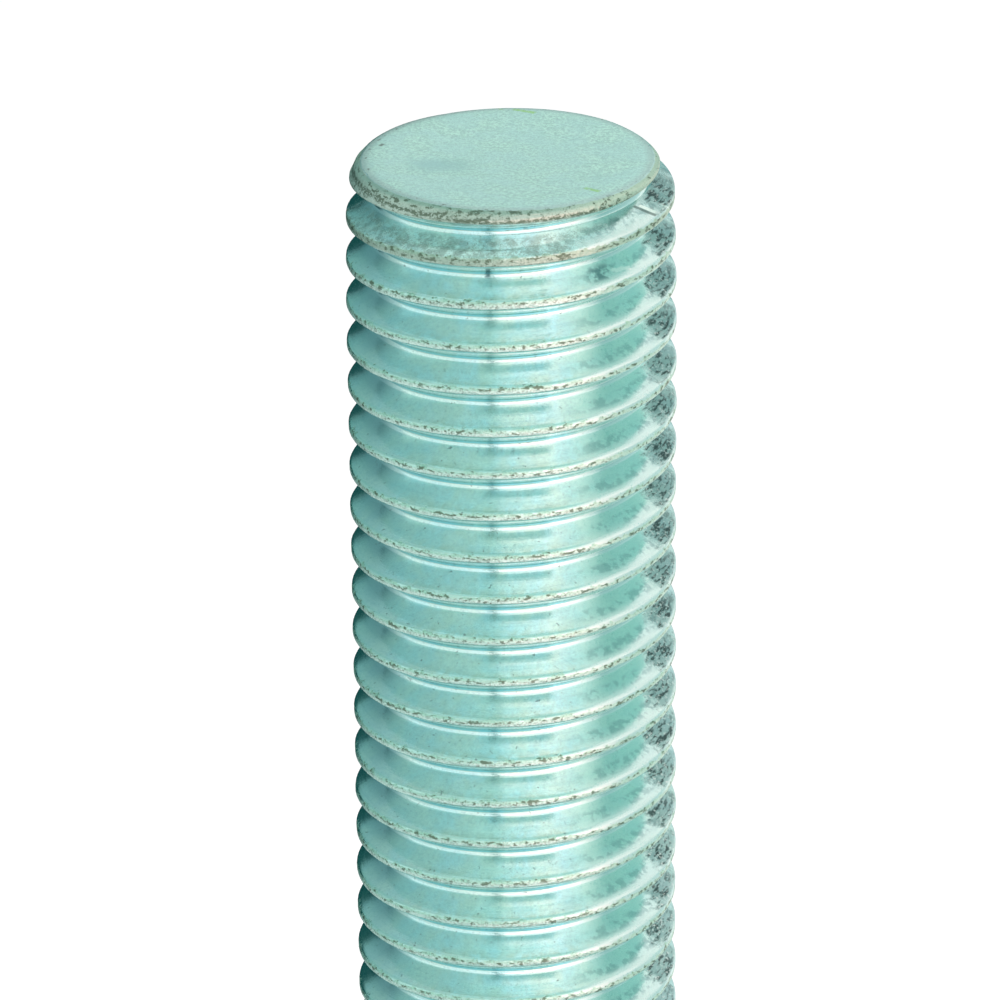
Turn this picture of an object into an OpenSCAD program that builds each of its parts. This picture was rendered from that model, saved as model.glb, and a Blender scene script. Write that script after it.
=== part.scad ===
// Threaded rod: one straight steel bar with a coarse thread rolled over its whole length,
// cut square at both ends and chamfered there so that a nut starts easily.
// It stands on one end, with the middle of that end at the origin and its axis along +Z.

/* [Rod] */
// Diameter over the crests of the thread
major_d = 18.6; // [12:0.1:40]
// Length from end face to end face
rod_len = 152.4; // [50:0.1:300]
// How far each end's chamfer cuts in from the crests
chamfer_depth = 1.05; // [0.3:0.05:2]
// How far each end's chamfer runs along the rod
chamfer_len = 1.5; // [0.5:0.1:5]

/* [Thread] */
// Distance along the rod from one crest to the next
pitch = 2.54; // [1.5:0.01:3.5]
// Width of the flat on each crest
crest_w = 0.5; // [0.1:0.01:1]
// Radius of the rounded root of each groove
root_round = 0.2; // [0.05:0.01:0.6]
// Angle between the two flanks of a groove
flank_angle = 60; // [50:1:70]

/* [Hidden] */

major_r = major_d / 2;
face_r = major_r - chamfer_depth;

// The flanks run straight from the crest until they touch the root's circle, which sets the depth.
half_angle = flank_angle / 2;
mouth_w = pitch - crest_w;
flank_width = mouth_w / 2 - root_round * cos(half_angle);
thread_depth = flank_width / tan(half_angle) + root_round * (1 - sin(half_angle));

// The grooves are closed rings at the thread's pitch, spread evenly from the middle of the
// rod, so both ends are alike. They have the true section of the thread but none of its lead.
groove_count = round(rod_len / pitch);
groove_z = [for (i = [0 : groove_count - 1]) (rod_len + (2 * i + 1 - groove_count) * pitch) / 2];

// Flats that stand for the root's curve, and how far a groove carries on past the crests
ROOT_FLATS = 4;
OVERCUT = 1;
$fn = 96;

// Half of the bar's outline, with a chamfer at each end
module bar_section() {
    polygon([
        [0, 0],
        [face_r, 0],
        [major_r, chamfer_len],
        [major_r, rod_len - chamfer_len],
        [face_r, rod_len],
        [0, rod_len]
    ]);
}

// One groove, with the crests' line at x = 0 and the middle of the groove at y = 0
module groove_section() {
    root_arc = 90 - half_angle;
    mouth_y = mouth_w / 2 + OVERCUT * tan(half_angle);
    polygon(concat(
        [[OVERCUT, -mouth_y]],
        [for (i = [0 : ROOT_FLATS])
            let (turn = root_arc * (2 * i / ROOT_FLATS - 1))
            [root_round * (1 - cos(turn)) - thread_depth, root_round * sin(turn)]],
        [[OVERCUT, mouth_y]]
    ));
}

// The whole rod, in zinc-plated steel
module rod() {
    color([0.47, 0.63, 0.61])
        rotate_extrude()
            difference() {
                bar_section();
                for (z = groove_z)
                    translate([major_r, z])
                        groove_section();
            }
}

rod();
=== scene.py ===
import math

import bmesh
import bpy
from mathutils import Matrix, Vector, noise


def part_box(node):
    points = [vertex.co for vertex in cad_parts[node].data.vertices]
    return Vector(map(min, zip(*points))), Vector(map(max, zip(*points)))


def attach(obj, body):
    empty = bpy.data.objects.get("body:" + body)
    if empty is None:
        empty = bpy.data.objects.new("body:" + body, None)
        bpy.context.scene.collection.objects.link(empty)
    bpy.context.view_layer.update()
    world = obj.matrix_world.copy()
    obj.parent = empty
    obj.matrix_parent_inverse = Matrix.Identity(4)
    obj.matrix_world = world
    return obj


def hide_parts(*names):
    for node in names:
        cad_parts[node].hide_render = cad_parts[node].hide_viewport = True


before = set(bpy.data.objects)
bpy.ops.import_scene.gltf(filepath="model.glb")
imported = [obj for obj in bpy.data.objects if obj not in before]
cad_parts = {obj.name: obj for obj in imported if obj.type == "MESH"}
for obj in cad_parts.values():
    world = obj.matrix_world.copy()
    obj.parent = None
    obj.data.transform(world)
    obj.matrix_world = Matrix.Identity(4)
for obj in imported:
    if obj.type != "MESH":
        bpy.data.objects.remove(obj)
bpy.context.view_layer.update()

# ---- Camera -------------------------------------------------------------------------------
# A long lens from a little above, aimed close to the top end, so that the rod runs out of the
# bottom of the view. It is rolled by a hair, as a camera held by hand is.
MM = 0.001
high = Vector(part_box("rod")[1])
rod_top = high.z
aim = Vector((-0.75 * MM, 0, rod_top - 20.86 * MM))
distance = 386.5 * MM
elevation = math.radians(23.75)
roll = math.radians(0.55)
forward = Vector((0, math.cos(elevation), -math.sin(elevation)))
level_up = Vector((0, math.sin(elevation), math.cos(elevation)))
right = math.cos(roll) * Vector((1, 0, 0)) - math.sin(roll) * level_up
camera_axes = Matrix((right, -forward.cross(right), -forward)).transposed()
lens = bpy.data.cameras.new("camera")
lens.lens = 244
lens.clip_start = 0.01
camera = bpy.data.objects.new("camera", lens)
camera.matrix_world = Matrix.Translation(aim - distance * forward) @ camera_axes.to_4x4()
bpy.context.collection.objects.link(camera)
bpy.context.scene.camera = camera

# ---- Threaded rod --------------------------------------------------------------------------
# One steel bar with a coarse right-hand thread rolled over its whole length, its ends cut
# square and chamfered, and the whole plated with zinc that has gone a strong blue-green.
crest_radius = high.x / MM
length = rod_top / MM
PITCH = 2.54
HALF_ANGLE = math.radians(30)
CREST_WIDTH = 0.42
CREST_ROUND = 0.16
ROOT_ROUND = 0.28
CHAMFER_DEPTH = 1.05
CHAMFER_LENGTH = 1.5
CHAMFER_SHIFT = 0.3
CHAMFER_ROUND = 0.12
END_SHORTFALL = 0.15
END_TAPER = 7
RUN_OUT = 0.16
CREST_WEAR = 0.03
FLANK_WEAR = 0.006
WORN_WIDTH = 0.4
FACE_RADIUS = crest_radius - CHAMFER_DEPTH
FIRST_CREST = length - 2.0
COLUMNS = 90
root_half = ROOT_ROUND * math.cos(HALF_ANGLE)
flank_depth = (PITCH / 2 - CREST_WIDTH / 2 - root_half) / math.tan(HALF_ANGLE)
root_bottom = crest_radius - flank_depth - ROOT_ROUND * (1 - math.sin(HALF_ANGLE))


def soft_min(a, b, width):
    """The smaller of two lengths, with the corner between them rounded over about width."""
    share = max(width - abs(a - b), 0) / width
    return min(a, b) - share * share * width / 4


def shortfall(from_end):
    """How far the crest stays short of full height, which the rolling doesn't fill near an end."""
    return END_SHORTFALL * max(0, 1 - from_end / END_TAPER)


def thread_radius(from_crest, from_end):
    """Radius of the rolled thread at an axial distance from the middle of its crest."""
    to_root = PITCH / 2 - abs(from_crest)
    if to_root < root_half:
        return root_bottom + ROOT_ROUND - math.sqrt(ROOT_ROUND**2 - to_root**2)
    flank = root_bottom + ROOT_ROUND * (1 - math.sin(HALF_ANGLE))
    flank += (to_root - root_half) / math.tan(HALF_ANGLE)
    return soft_min(flank, crest_radius - shortfall(from_end), CREST_ROUND)


def cone_radius(angle, from_end):
    """Radius of the chamfer, which is steeper and cuts less off on one side than on the other."""
    spared = CHAMFER_SHIFT * max(0, -math.cos(angle)) ** 2
    return FACE_RADIUS + spared + from_end * (CHAMFER_DEPTH / CHAMFER_LENGTH - 0.8 * spared)


# Rows of points lie across one turn, closest round the edge of its crest and in the root. Columns
# follow the thread, and the grooves run out towards both ends.
root_turns = [math.radians(angle) for angle in (60, 36, 12)]
half_rows = [0.14, 0.215, 0.27, 0.36, 0.7]
half_rows += [PITCH / 2 - ROOT_ROUND * math.sin(angle) for angle in root_turns]
rows = [-row for row in reversed(half_rows)] + [0] + half_rows
turns_below = math.ceil(FIRST_CREST / PITCH) + 1
turns_above = 2
first_column = -turns_below * COLUMNS
last_column = turns_above * COLUMNS

rod_mesh = bmesh.new()
grid = []
for column in range(first_column, last_column + 1):
    turn = column / COLUMNS
    angle = 2 * math.pi * turn
    for row in rows:
        z = FIRST_CREST + PITCH * turn + row
        from_end = max(min(z, length - z), 0)
        radius = max(thread_radius(row, from_end), FACE_RADIUS + RUN_OUT - from_end)
        radius = soft_min(radius, cone_radius(angle, from_end), CHAMFER_ROUND)
        dent = noise.noise(Vector((4.4 * math.cos(angle), 4.4 * math.sin(angle), 1.6 * z)))
        crest_share = max(0, 1 - abs(row) / WORN_WIDTH)
        radius += (CREST_WEAR * crest_share + FLANK_WEAR) * dent
        grid.append(rod_mesh.verts.new((radius * math.cos(angle), radius * math.sin(angle), z)))
for column in range(last_column - first_column):
    for row in range(len(rows)):
        start = column * len(rows) + row
        if row + 1 < len(rows):
            above = start + 1
        else:
            above = (column + COLUMNS) * len(rows)
        if above + len(rows) >= len(grid):
            continue
        corners = (start, start + len(rows), above + len(rows), above)
        rod_mesh.faces.new([grid[corner] for corner in corners])

# The ends: cut square, with a rounded edge, and cupped a little by the rolling. The profile
# gives each ring's radius and its depth below the end, from the edge in.
CUT_DEPTH = 0.15
CUT_RADIUS = FACE_RADIUS + 0.1
CUP_DEPTH = 0.22
CUP_RADIUS = 7.3
end_profile = [(FACE_RADIUS, 0.085), (FACE_RADIUS - 0.15, 0.04)]
end_profile += [(FACE_RADIUS - 0.5, 0.012), (CUP_RADIUS, 0)]
for share in (0.93, 0.85, 0.75, 0.65, 0.55, 0.45, 0.35, 0.25, 0.15, 0.06):
    end_profile.append((CUP_RADIUS * share, CUP_DEPTH * (1 - share**2)))
for end, outward in ((length, 1), (0, -1)):
    cut = end - outward * CUT_DEPTH
    bmesh.ops.bisect_plane(
        rod_mesh,
        geom=rod_mesh.verts[:] + rod_mesh.edges[:] + rod_mesh.faces[:],
        plane_co=(0, 0, cut),
        plane_no=(0, 0, outward),
        clear_outer=True,
        dist=1e-5,
    )
    rim = [vert for vert in rod_mesh.verts if vert.is_boundary and abs(vert.co.z - cut) < 1e-3]
    rim.sort(key=lambda vert: math.atan2(vert.co.y, vert.co.x))
    ring = rim
    for radius, depth in end_profile:
        share = radius / CUT_RADIUS
        inner = []
        for vert in rim:
            point = (vert.co.x * share, vert.co.y * share, end - outward * depth)
            inner.append(rod_mesh.verts.new(point))
        for i, vert in enumerate(inner):
            rod_mesh.faces.new((ring[i - 1], ring[i], vert, inner[i - 1]))
        ring = inner
    centre = rod_mesh.verts.new((0, 0, end - outward * CUP_DEPTH))
    for i, vert in enumerate(ring):
        rod_mesh.faces.new((ring[i - 1], vert, centre))

bmesh.ops.recalc_face_normals(rod_mesh, faces=rod_mesh.faces)
for face in rod_mesh.faces:
    face.smooth = True
bmesh.ops.scale(rod_mesh, vec=(MM, MM, MM), verts=rod_mesh.verts)
mesh = bpy.data.meshes.new("rolled_rod")
rod_mesh.to_mesh(mesh)
rod_mesh.free()
rod = bpy.data.objects.new("rolled_rod", mesh)
bpy.context.collection.objects.link(rod)


class Signal:
    """A socket in a node tree. Arithmetic adds Math nodes, and node() adds any other kind."""

    def __init__(self, tree, socket=None):
        self.tree = tree
        self.socket = socket

    def node(self, kind, settings=(), inputs=(), output=0):
        made = self.tree.nodes.new(kind)
        for name, value in dict(settings).items():
            setattr(made, name, value)
        for name, value in dict(inputs).items():
            if isinstance(value, Signal):
                self.tree.links.new(value.socket, made.inputs[name])
            else:
                made.inputs[name].default_value = value
        return Signal(self.tree, made.outputs[output] if made.outputs else None)

    def out(self, name):
        """Another output of the node that this signal comes from."""
        return Signal(self.tree, self.socket.node.outputs[name])

    def math(self, operation, *values):
        return self.node("ShaderNodeMath", {"operation": operation}, enumerate(values))

    def __add__(self, other):
        return self.math("ADD", self, other)

    def __sub__(self, other):
        return self.math("SUBTRACT", self, other)

    def __rsub__(self, other):
        return self.math("SUBTRACT", other, self)

    def __mul__(self, other):
        return self.math("MULTIPLY", self, other)

    def __truediv__(self, other):
        return self.math("DIVIDE", self, other)

    def __rtruediv__(self, other):
        return self.math("DIVIDE", other, self)

    __radd__ = __add__
    __rmul__ = __mul__

    def step(self, start, end):
        """0 up to start, 1 from end on, eased between them."""
        return self.node(
            "ShaderNodeMapRange",
            {"interpolation_type": "SMOOTHSTEP"},
            {"Value": self, "From Min": start, "From Max": end},
        )

    def either(self, other):
        """The greater of two masks."""
        return self.math("MAXIMUM", self, other)

    def mix(self, below, above):
        """A colour: below where this signal is 0, above where it is 1."""
        return self.node(
            "ShaderNodeMix", {"data_type": "RGBA"}, {0: self, 6: below, 7: above}, output=2
        )

    def coated(self, mask, paint):
        """This colour with another over it where the mask is 1."""
        return mask.mix(self, paint if isinstance(paint, Signal) else (*paint, 1))


def new_material(name):
    made = bpy.data.materials.new(name)
    made.use_nodes = True
    made.node_tree.nodes.clear()
    return made


# The plating. Places on it are in millimetres. turn goes from -0.5 to 0.5 round the rod, with
# -0.25 in front and 0 on the right, winding goes up by 1 from each crest to the next, and
# from_crest is the height over the middle of the nearest crest, below 0 underneath it.
plating = new_material("zinc_plate")
zinc = Signal(plating.node_tree)
place = zinc.node(
    "ShaderNodeVectorMath",
    {"operation": "SCALE"},
    {0: zinc.node("ShaderNodeTexCoord", output="Object"), "Scale": 1 / MM},
)
x = zinc.node("ShaderNodeSeparateXYZ", inputs={0: place})
y, z = x.out("Y"), x.out("Z")
across = zinc.math("SQRT", x * x + y * y)
turn = zinc.math("ARCTAN2", y, x) / (2 * math.pi)
winding = (z - FIRST_CREST) / PITCH - turn
from_crest = (zinc.math("FRACT", winding + 0.5) - 0.5) * PITCH
from_end = zinc.math("MINIMUM", z, length - z)


def noise_in(where, scale, detail, roughness):
    """Noise, about 0 to 1, with scale features to each unit of the place that it is given."""
    inputs = {"Vector": where, "Scale": scale, "Detail": detail, "Roughness": roughness}
    return zinc.node("ShaderNodeTexNoise", {}, inputs)


def noise_at(scale, detail, roughness, stretch=(1, 1, 1), shift=0):
    """Even noise over the rod, with scale features to a millimetre."""
    where = zinc.node(
        "ShaderNodeVectorMath",
        {"operation": "MULTIPLY_ADD"},
        {0: place, 1: stretch, 2: (shift, 2.3 * shift, 1.7 * shift)},
    )
    return noise_in(where, scale, detail, roughness)


def near(value, middle, half, soft):
    """1 where a signal is within half of middle, falling to 0 over soft."""
    return 1 - zinc.math("ABSOLUTE", value - middle).step(half, half + soft)


# Noises that several of the masks share, from the broadest to the finest. Blobs are long round
# the rod, and streaks are drawn out along the thread by the rolling.
cloud = noise_at(0.5, 2, 0.55, shift=3)
patch = noise_at(1.7, 3, 0.6, shift=9)
flake = noise_at(2.2, 3, 0.65, stretch=(0.7, 0.7, 1.5), shift=12)
fleck = noise_at(3.6, 2, 0.6, stretch=(0.8, 0.8, 1.2), shift=21)
grit = noise_at(5.5, 3, 0.7, stretch=(0.8, 0.8, 1.3), shift=5)
grain = noise_at(9, 2, 0.6, shift=60)
blob_place = {0: turn * 32, 1: z * 4.2, 2: winding * 0.2}
blob = noise_in(zinc.node("ShaderNodeCombineXYZ", inputs=blob_place), 2.2, 3, 0.65)
streak_place = {0: x * 0.15, 1: y * 0.15, 2: across * 7 + z * 0.35}
streak = noise_in(zinc.node("ShaderNodeCombineXYZ", inputs=streak_place), 1, 3, 0.6)

# Where the crest's ragged crust lies, the chamfer, and the end faces.
ragged = (flake - 0.5) * 0.55 + (grit - 0.5) * 0.35
lack = (1 - from_end / END_TAPER).either(0) * END_SHORTFALL
crest_half = CREST_WIDTH / 2 + lack * math.tan(HALF_ANGLE)
above_crest = from_crest - crest_half
below_crest = from_crest + crest_half
seam_top = above_crest + ragged + turn.step(-0.24, -0.15) * 0.11
crest = below_crest.step(0.02, 0.08) * (1 - seam_top.step(-0.05, 0.04))
spared = zinc.math("POWER", (x / across * -1).either(0), 2) * CHAMFER_SHIFT
cone = FACE_RADIUS + spared + from_end * (CHAMFER_DEPTH / CHAMFER_LENGTH - spared * 0.8)
inside = 1 - (across + ragged * 0.6 - spared).step(7.98, 8.12)
face = (1 - from_end.step(0.35, 0.45)) * inside
chamfer = near(across, cone, 0.16, 0.1) * (1 - from_end.step(1.3, 1.7)) * (1 - face)
rough = (crest * (1 - face)).either(chamfer)
flanks = (1 - face) * (1 - rough)

# Clean zinc on the flanks: teal, greener and bluer by turns, and paler along the front, where
# light is painted into its colour.
colour = cloud.step(0.35, 0.65).mix((0.55, 0.86, 0.84, 1), (0.61, 0.91, 0.82, 1))
# Painted light: the flanks are paler along the front.
painted_front_light = near(turn, -0.28, 0.10, 0.05) * from_crest.step(0.15, 0.3)
front_lit_zinc = cloud.step(0.38, 0.62).mix((0.56, 1.0, 1.0, 1), (0.64, 1.0, 0.92, 1))
colour = colour.coated(painted_front_light * 0.85, front_lit_zinc)
colour = colour.coated(patch.step(0.38, 0.68) * 0.4, (0.63, 0.95, 0.88))
colour = colour.coated(streak.step(0.5, 0.8) * 0.35, (0.40, 0.72, 0.73))
colour = colour.coated(grit.step(0.45, 0.75) * 0.4, (0.36, 0.66, 0.67))
colour = colour.coated(grain.step(0.50, 0.66) * 0.25, (0.40, 0.70, 0.72))

# Painted shade: the plating's colour is darker in the hollow of the groove, under the crests in
# front, in a wedge on the right, above the crests on the left and at the groove's foot on the
# right, and a green line of painted shade lies close above the crests. An olive film also lies
# there, and dark pits are strewn all over.
film = (1 - above_crest.step(0.05, 0.40)) * patch.step(0.35, 0.6) * near(turn, -0.27, 0.06, 0.08)
colour = colour.coated(film * 0.4, (0.44, 0.62, 0.45))
# Painted shade in the hollow of the groove.
painted_groove_shade = (from_crest + PITCH / 2).step(0.01, 0.07) * (1 - from_crest.step(-1.12, -0.98))
colour = colour.coated(painted_groove_shade * 0.9, (0.25, 0.56, 0.62))
# Painted shade under the crests, except on the right.
painted_under_crest_shade = near(from_crest, -0.62, 0.40, 0.14) * (1 - turn.step(-0.15, -0.10))
colour = colour.coated(painted_under_crest_shade * 0.5, (0.35, 0.48, 0.51))
# Painted shade: a dark wedge under the crests, in front on the right.
painted_shade_wedge = near(turn, -0.150, 0.016, 0.035) * near(from_crest, -0.80, 0.40, 0.12)
colour = colour.coated(painted_shade_wedge * 0.6, (0.14, 0.32, 0.38))
# Painted shade at the foot of the groove on the right.
painted_foot_shade = zinc.math("ABSOLUTE", from_crest).step(1.06, 1.22) * turn.step(-0.17, -0.13)
colour = colour.coated(painted_foot_shade * 0.8, (0.34, 0.56, 0.56))
# Painted shade above the crests on the left, towards the groove.
painted_left_shade = (1 - turn.step(-0.44, -0.40)) * from_crest.step(0.30, 0.95)
colour = colour.coated(painted_left_shade * 0.8, (0.22, 0.46, 0.49))
# Painted shade: a darker green line close above the crests, except on the right.
painted_brow_shade = near(from_crest, 0.16, 0.10, 0.10) * (1 - turn.step(-0.19, -0.14))
colour = colour.coated(painted_brow_shade * 0.5, (0.34, 0.78, 0.68))
pits = fleck.step(0.66, 0.72) * patch.step(0.42, 0.58)
colour = colour.coated(pits * 0.7, (0.16, 0.28, 0.28))

# The first turn was rolled less cleanly: pale patches, dull smudges and fine cracks.
first_turn = near(winding, 0.19, 0.16, 0.07) * flanks
blotch = first_turn * flake.step(0.42, 0.62)
colour = colour.coated(blotch * 0.25, (0.60, 0.88, 0.80))
colour = colour.coated(first_turn * patch.step(0.42, 0.62) * 0.6, (0.26, 0.42, 0.38))
colour = colour.coated(first_turn * near(fleck, 0.5, 0.006, 0.02) * 0.5, (0.20, 0.28, 0.24))

# On the right every turn has painted reflections on rougher zinc: a duller strip, pale above the
# crest and with a dark smudge higher up, and a dark mottled strip with pale specks further round.
# Painted reflection: a duller strip on the right of every turn.
painted_right_strip = near(turn, -0.11, 0.05, 0.04) * flanks
colour = colour.coated(painted_right_strip * 0.6, (0.46, 0.78, 0.72))
# Painted highlight above the crest, where the zinc is also rougher.
rough_painted_highlight = painted_right_strip * (1 - above_crest.step(-0.05, 0.52)) * grit.step(0.22, 0.50)
rough_painted_highlight = rough_painted_highlight * (1 - turn.step(-0.11, -0.06) * 0.6)
colour = colour.coated(rough_painted_highlight * 0.75, (0.72, 0.93, 0.87))
# Painted shade: a dark smudge higher on the flank.
painted_smudge_shade = painted_right_strip * near(above_crest, 0.42, 0.10, 0.15) * patch.step(0.45, 0.58)
colour = colour.coated(painted_smudge_shade * 0.5, (0.22, 0.42, 0.42))
# Painted reflection of dark surroundings: a darker, rougher strip, mottled, with pale specks.
rough_painted_dark_strip = near(turn + (patch - 0.5) * 0.05, -0.028, 0.028, 0.02) * flanks
rough_painted_dark_strip = rough_painted_dark_strip * near(from_crest, 0.60, 0.30, 0.14)
painted_dark_mottle = rough_painted_dark_strip * blob.step(0.47, 0.60) * (1 - turn.step(-0.03, 0.0) * 0.5)
colour = colour.coated(rough_painted_dark_strip * 0.45, (0.12, 0.30, 0.28))
colour = colour.coated(painted_dark_mottle * 0.9, (0.02, 0.06, 0.055))
colour = colour.coated(rough_painted_dark_strip * grit.step(0.56, 0.64) * 0.8, (0.72, 0.90, 0.84))

# Crests and chamfers: a dull grey crust, greener at its top edge, with a painted highlight
# along its lower edge, darker on the first turn, greyer on the left of the chamfer and yellower
# on the right.
first_turns = (winding + 1.2).step(0.0, 1.0)
crust = grit.step(0.33, 0.58).mix((0.28, 0.50, 0.42, 1), (0.53, 0.84, 0.74, 1))
crust = crust.coated(flake.step(0.40, 0.62) * 0.4, (0.58, 0.88, 0.82))
crust = crust.coated(grain.step(0.49, 0.65) * 0.6, (0.70, 0.96, 0.88))
crust = crust.coated(above_crest.step(-0.24, -0.02) * 0.7, (0.27, 0.68, 0.52))
# Painted highlight along the lower edge of the crust.
crust = crust.coated((1 - below_crest.step(0.08, 0.28)) * 0.6, (0.74, 1.0, 0.93))
crust = crust.coated(first_turns * 0.6, (0.24, 0.38, 0.28))
crust = crust.coated((1 - grain.step(0.36, 0.46)) * 0.45, (0.16, 0.26, 0.19))
crust = crust.coated(chamfer * x.step(-2, -8) * 0.45, (0.58, 0.78, 0.70))
crust = crust.coated(turn.step(-0.24, -0.12) * 0.45, (0.58, 0.82, 0.60))

# Dark cracks run along the crust and round the chamfer, and dark specks are strewn over both.
crack = near(seam_top, -0.13, 0.05, 0.08) * crest * fleck.step(0.50, 0.60)
rim_crack = chamfer * near(from_end + ragged, 0.55, 0.06, 0.14) * grit.step(0.42, 0.5)
second_crack = near(seam_top + ragged * 0.4, -0.25, 0.02, 0.05) * crest * fleck.step(0.48, 0.58)
second_crack = second_crack * (winding + 1.4).step(0.0, 0.8)
specks = rough * (fleck + first_turns * 0.06).step(0.62, 0.70) * grain.step(0.4, 0.5)
crack = crack.either(rim_crack).either(second_crack).either(specks)
crust = crust.coated(crack * 0.85, (0.08, 0.14, 0.09))
colour = rough.mix(colour, crust)

# The end faces: dull green, finely mottled, with one faint stain, and greyer round their edge.
face_grain = noise_at(5, 3, 0.7, shift=30)
dull = face_grain.step(0.38, 0.62).mix((0.46, 0.76, 0.69, 1), (0.64, 0.97, 0.86, 1))
dull = dull.coated(cloud.step(0.35, 0.65) * 0.5, (0.53, 0.85, 0.82))
dull = dull.coated(patch.step(0.5, 0.7) * 0.35, (0.47, 0.78, 0.68))
dull = dull.coated(grain.step(0.54, 0.64) * 0.5, (0.36, 0.62, 0.58))
stain = near(x, -3.9, 0.6, 2.2) * near(y, -0.7, 0.2, 1.4)
dull = dull.coated(stain * 0.6, (0.38, 0.68, 0.66))
dull = dull.coated((across - spared).step(7.4, 8.0) * 0.5, (0.42, 0.56, 0.54))


def spot(middle_x, middle_y, half_long, half_wide, tilt=0):
    """1 inside a soft-edged mark on the upper end face, turned by tilt degrees."""
    lean = math.radians(tilt)
    aside, up = x - middle_x, y - middle_y
    along = aside * math.cos(lean) + up * math.sin(lean)
    over = up * math.cos(lean) - aside * math.sin(lean)
    on_top = z.step(0.5 * length, 0.6 * length)
    return near(along, 0, half_long, 0.12) * near(over, 0, half_wide, 0.12) * on_top


# Touches of yellow-green paint on the upper face, and small chips along the edge of both.
paint = spot(0.85, 7.42, 0.65, 0.10, tilt=-28).either(spot(-0.5, 7.8, 0.06, 0.04))
paint = paint.either(spot(4.5, -5.0, 0.5, 0.08, tilt=-41)) * grit.step(0.35, 0.5)
dull = dull.coated(paint * 0.75, (0.36, 0.74, 0.20))
chips = near(across, 8.0, 0.06, 0.06) * fleck.step(0.60, 0.66)
chips = chips.either(spot(-7.2, 2.2, 0.12, 0.05, tilt=60))
dull = dull.coated(chips * 0.7, (0.12, 0.16, 0.13))
colour = face.mix(colour, dull)

# A burr crosses the first turn on the right, painted as a pale highlight with a painted shadow
# beside it, and a small pale one lies further round.
burr_slope = (turn + 0.078) * 50 + from_crest - 0.62
first_flank = near(winding, 0.26, 0.16, 0.03)
burr_highlight = near(burr_slope, 0, 0.09, 0.10) * near(from_crest, 0.62, 0.20, 0.06) * first_flank
small_burr_highlight = near((turn + 0.052) * 40 + from_crest, 0.24, 0.03, 0.08)
small_burr_highlight = small_burr_highlight * near(turn, -0.052, 0.004, 0.003) * near(winding, 0.10, 0.10, 0.03)
burr_highlight = burr_highlight.either(small_burr_highlight * 0.7)
# Painted highlight along the burrs.
colour = colour.coated(burr_highlight * 0.9, (0.70, 0.98, 0.88))
# Painted shadow beside the large burr.
shade = near(burr_slope, -0.28, 0.06, 0.12) * near(from_crest, 0.62, 0.28, 0.06) * first_flank
colour = colour.coated(shade * 0.7, (0.06, 0.12, 0.10))

# The second turn has a nick in its root, and a few bright scratches by a patch of painted shade.
nick = near(turn + (grit - 0.5) * 0.008, -0.2768, 0.0008, 0.0035) * near(winding, -0.5, 0.02, 0.07)
colour = colour.coated(nick * 0.78, (0.05, 0.16, 0.18))
# Painted shade: a dark patch below the first crest, in front on the right.
painted_shade_patch = near(turn, -0.152, 0.008, 0.012) * near(winding, -0.72, 0.06, 0.08)
painted_shade_patch = painted_shade_patch * patch.step(0.36, 0.56) * patch.step(0.3, 0.6)
colour = colour.coated(painted_shade_patch * 0.6, (0.05, 0.16, 0.18))
scratch = near(winding + (turn + 0.127) * 3 + grit * 0.1, -0.72, 0.016, 0.02)
scratch = scratch * near(turn, -0.127, 0.010, 0.003)
colour = colour.coated(scratch * 0.9, (0.80, 0.98, 0.92))

# Clean flanks are glossy, and blemishes, the crust and the end faces are duller. The crust is
# the roughest to the touch, then the end faces.
gloss = 0.16 + (streak - 0.5) * 0.12 + blotch * 0.12 + rough_painted_dark_strip * 0.15 + rough_painted_highlight * 0.15
gloss = gloss + rough * 0.24 + face * 0.3
flakes = (grit - 0.5) * 0.03 + (flake - 0.5) * 0.05
height = streak * 0.003 + grit * 0.004 + flakes * rough + face_grain * 0.014 * face
bump = zinc.node("ShaderNodeBump", {}, {"Strength": 1.0, "Distance": MM, "Height": height})
surface = zinc.node(
    "ShaderNodeBsdfPrincipled",
    {},
    {"Base Color": colour, "Metallic": 1 - rough * 0.1, "Roughness": gloss, "Normal": bump},
)
zinc.node("ShaderNodeOutputMaterial", {}, {"Surface": surface})
mesh.materials.append(plating)

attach(rod, "root")
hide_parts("rod")

# ---- Floor ---------------------------------------------------------------------------------
# A wide sheet of matt white paper, on which the rod stands. A faint glow that lights nothing
# lifts it to plain white where it is seen, and it still takes a shadow.
FLOOR_HALF = 3.0
PAPER = 0.85
PAPER_GLOW = 0.4
floor_mesh = bpy.data.meshes.new("floor")
corners = [(-FLOOR_HALF, -FLOOR_HALF, 0), (FLOOR_HALF, -FLOOR_HALF, 0)]
corners += [(FLOOR_HALF, FLOOR_HALF, 0), (-FLOOR_HALF, FLOOR_HALF, 0)]
floor_mesh.from_pydata(corners, [], [(0, 1, 2, 3)])
floor = bpy.data.objects.new("floor", floor_mesh)
bpy.context.collection.objects.link(floor)


def seen_directly(tree):
    """1 for rays that show the background: straight to the camera, or mirrored or seen through."""
    rays = Signal(tree).node("ShaderNodeLightPath", output="Is Camera Ray")
    return rays.either(rays.out("Is Glossy Ray")).either(rays.out("Is Transmission Ray"))


paper = new_material("white_sheet")
sheet = Signal(paper.node_tree)
matt = sheet.node("ShaderNodeBsdfDiffuse", {}, {"Color": (PAPER, PAPER, PAPER, 1)})
seen_glow = seen_directly(paper.node_tree) * PAPER_GLOW
lift = sheet.node("ShaderNodeEmission", {}, {"Strength": seen_glow})
both = sheet.node("ShaderNodeAddShader", {}, {0: matt, 1: lift})
sheet.node("ShaderNodeOutputMaterial", {}, {"Surface": both})
floor_mesh.materials.append(paper)

# ---- Light tent ----------------------------------------------------------------------------
# White cloth hangs in a ring round the rod, as round any bright part that is lit softly, and
# only the metal sees it. It is brightest in front on the right and dim behind on the left.
TENT_RADIUS = 180 * MM
TENT_HEIGHT = 420 * MM


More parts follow.
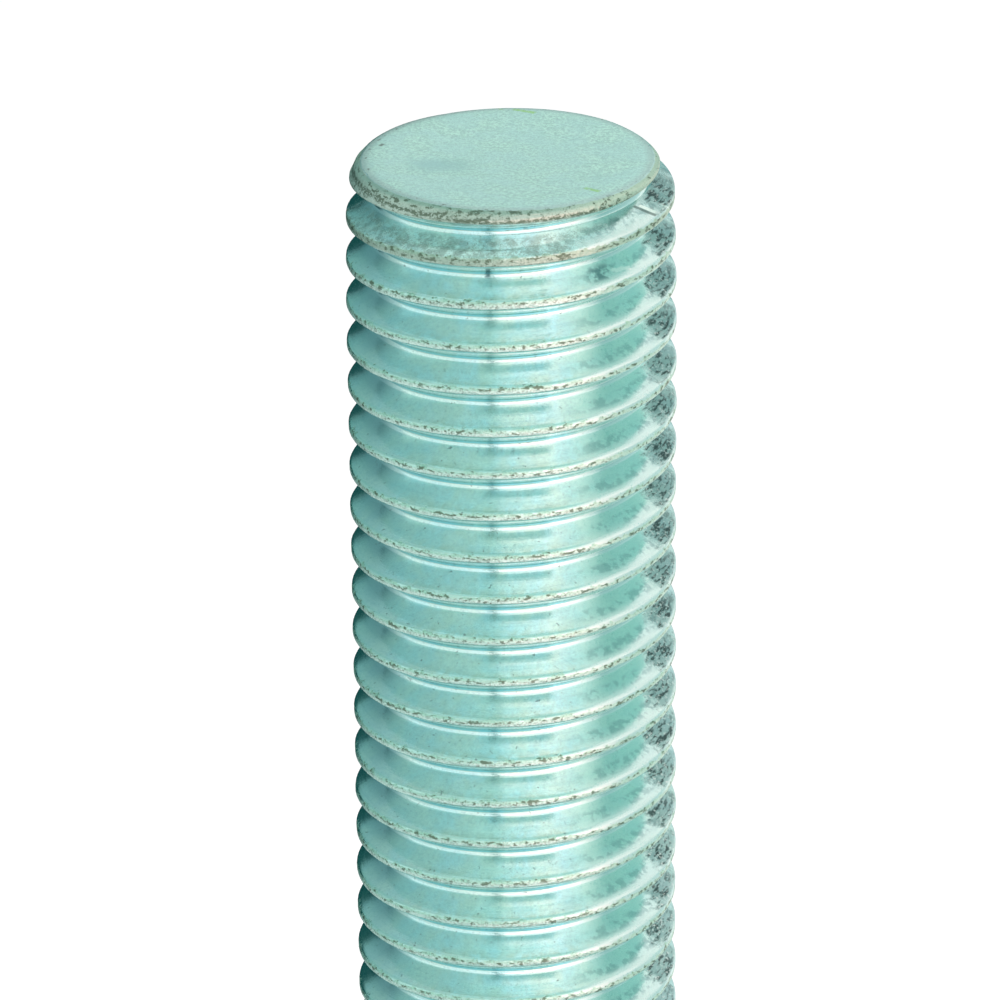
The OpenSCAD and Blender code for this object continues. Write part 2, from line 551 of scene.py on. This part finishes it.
def hang(name, points, faces, glow):
    """Puts up a piece of cloth that only mirrored light meets."""
    cloth_mesh = bpy.data.meshes.new(name)
    cloth_mesh.from_pydata(points, [], faces)
    cloth_mesh.materials.append(glow)
    hung = bpy.data.objects.new(name, cloth_mesh)
    bpy.context.collection.objects.link(hung)
    for unseen in ("camera", "diffuse", "transmission", "volume_scatter", "shadow"):
        setattr(hung, "visible_" + unseen, False)


def cloth(name, start, end, radius, bottom, top, glow):
    """A curved sheet from start to end degrees round from the camera, + to the right."""
    steps = max(2, round((end - start) / 3))
    points = []
    for i in range(steps + 1):
        bearing = math.radians(start + (end - start) * i / steps)
        side, front = radius * math.sin(bearing), -radius * math.cos(bearing)
        points += [(side, front, bottom), (side, front, top)]
    faces = [(2 * i, 2 * i + 2, 2 * i + 3, 2 * i + 1) for i in range(steps)]
    hang(name, points, faces, glow)


def lit_colour(level):
    """What lit cloth gives at a brightness: cooler than white where dim, warmer where bright."""
    return (1.3 * level**1.8, 1.1 * level, 1.1 * level)


def glowing(name, start_level, end_level=None, start=0, end=1):
    """A cloth's material, its brightness running evenly from one end to the other."""
    material = new_material(name)
    weave = Signal(material.node_tree)
    tone = (*lit_colour(start_level), 1)
    if end_level is not None:
        where = weave.node("ShaderNodeTexCoord", output="Object")
        where = weave.node("ShaderNodeSeparateXYZ", inputs={0: where})
        round_to = weave.math("ARCTAN2", where, where.out("Y") * -1) * (180 / math.pi)
        share = (round_to - start) / (end - start)
        tone = share.mix(tone, (*lit_colour(end_level), 1))
    light = weave.node("ShaderNodeEmission", {}, {"Color": tone})
    weave.node("ShaderNodeOutputMaterial", {}, {"Surface": light})
    material.cycles.emission_sampling = "NONE"
    return material


# The cloths of the ring, from straight behind round by the left: where each starts and ends,
# and how bright it is there.
walls = {
    "wall_back_left": (-180, -155, 0.85, 0.25),
    "wall_left": (-155, -12, 0.36, 1.02),
    "window": (-12, 30, 1.32, 1.72),
    "window_side": (30, 72, 1.62, 0.72),
    "wall_right": (72, 125, 0.60, 0.80),
    "window_back": (125, 148, 1.10, 0.85),
    "wall_back": (148, 180, 0.75, 0.85),
}
for name, (start, end, start_level, end_level) in walls.items():
    material = glowing(name, start_level, end_level, start, end)
    cloth(name, start, end, TENT_RADIUS, MM, TENT_HEIGHT, material)


def square(half, height):
    """The corners of a level square over the middle of the ring."""
    return [(-half, -half, height), (half, -half, height), (half, half, height), (-half, half, height)]


# The roof is of the same cloth, and the ground inside the ring is duller, so that less light
# comes up from it. A dark mat lies on it at the left, behind the rod.
hang("roof", square(TENT_RADIUS * 1.1, TENT_HEIGHT), [(0, 1, 2, 3)], glowing("roof", 0.75))
hang("ground", square(TENT_RADIUS * 0.66, MM / 2), [(0, 1, 2, 3)], glowing("ground", 0.35))
mat = []
for bearing, far in ((-160, 60), (-160, 164), (-130, 164), (-130, 60)):
    swing = math.radians(bearing)
    mat.append((far * MM * math.sin(swing), -far * MM * math.cos(swing), MM))
hang("mat", mat, [(0, 1, 2, 3)], glowing("mat", 0.12))

# Boards and cards hang in front of the cloth, each a little further in than the one before: dark
# boards behind the rod, a dark gap beside the lens, and cards that even out the rest. Each has
# the degrees where it starts and ends, its lower and upper edge, and how bright it is.
BOARD_GAP = 5
boards = {
    "board_left": (-158, -130, 1, 150, 0.07),
    "board_back_left": (-178, -158, 1, 190, 0.06),
    "board_back": (160, 180, 1, 185, 0.42),
    "board_back_right": (138, 153, 186, 258, 0.35),
    "rail": (-30, 30, 45, 100, 0.85),
    "gap": (-20, -16.5, 55, 420, 0.22),
    "blind": (-12, 72, 205, 420, 1.05),
    "card_right": (60, 112, 255, 420, 1.05),
    "card_left": (-100, -40, 110, 260, 0.85),
}
for place_in_row, (name, (start, end, bottom, top, level)) in enumerate(boards.items()):
    radius = TENT_RADIUS - (BOARD_GAP + place_in_row) * MM
    cloth(name, start, end, radius, bottom * MM, top * MM, glowing(name, level))

# ---- Light ---------------------------------------------------------------------------------
# A wide lamp above on the right, and even surroundings that show as plain white, while they
# light the floor and the crust of the rod with half of that.
lamp_light = bpy.data.lights.new("wide_lamp", "AREA")
lamp_light.size = 0.6
lamp_light.energy = 6
lamp = bpy.data.objects.new("wide_lamp", lamp_light)
lamp_place = Vector((0.3, -0.4, 0.9))
lamp_tilt = lamp_place.to_track_quat("Z", "Y").to_matrix().to_4x4()
lamp.matrix_world = Matrix.Translation(lamp_place) @ lamp_tilt
lamp.visible_glossy = False
lamp.visible_camera = False
bpy.context.collection.objects.link(lamp)

WORLD_LIGHT = 0.5
world = bpy.data.worlds.new("studio")
bpy.context.scene.world = world
world.use_nodes = True
background = world.node_tree.nodes["Background"]
background.inputs["Color"].default_value = (1, 1, 1, 1)
strength = seen_directly(world.node_tree) * (1 - WORLD_LIGHT) + WORLD_LIGHT
world.node_tree.links.new(strength.socket, background.inputs["Strength"])
bpy.context.scene.view_settings.view_transform = "Standard"
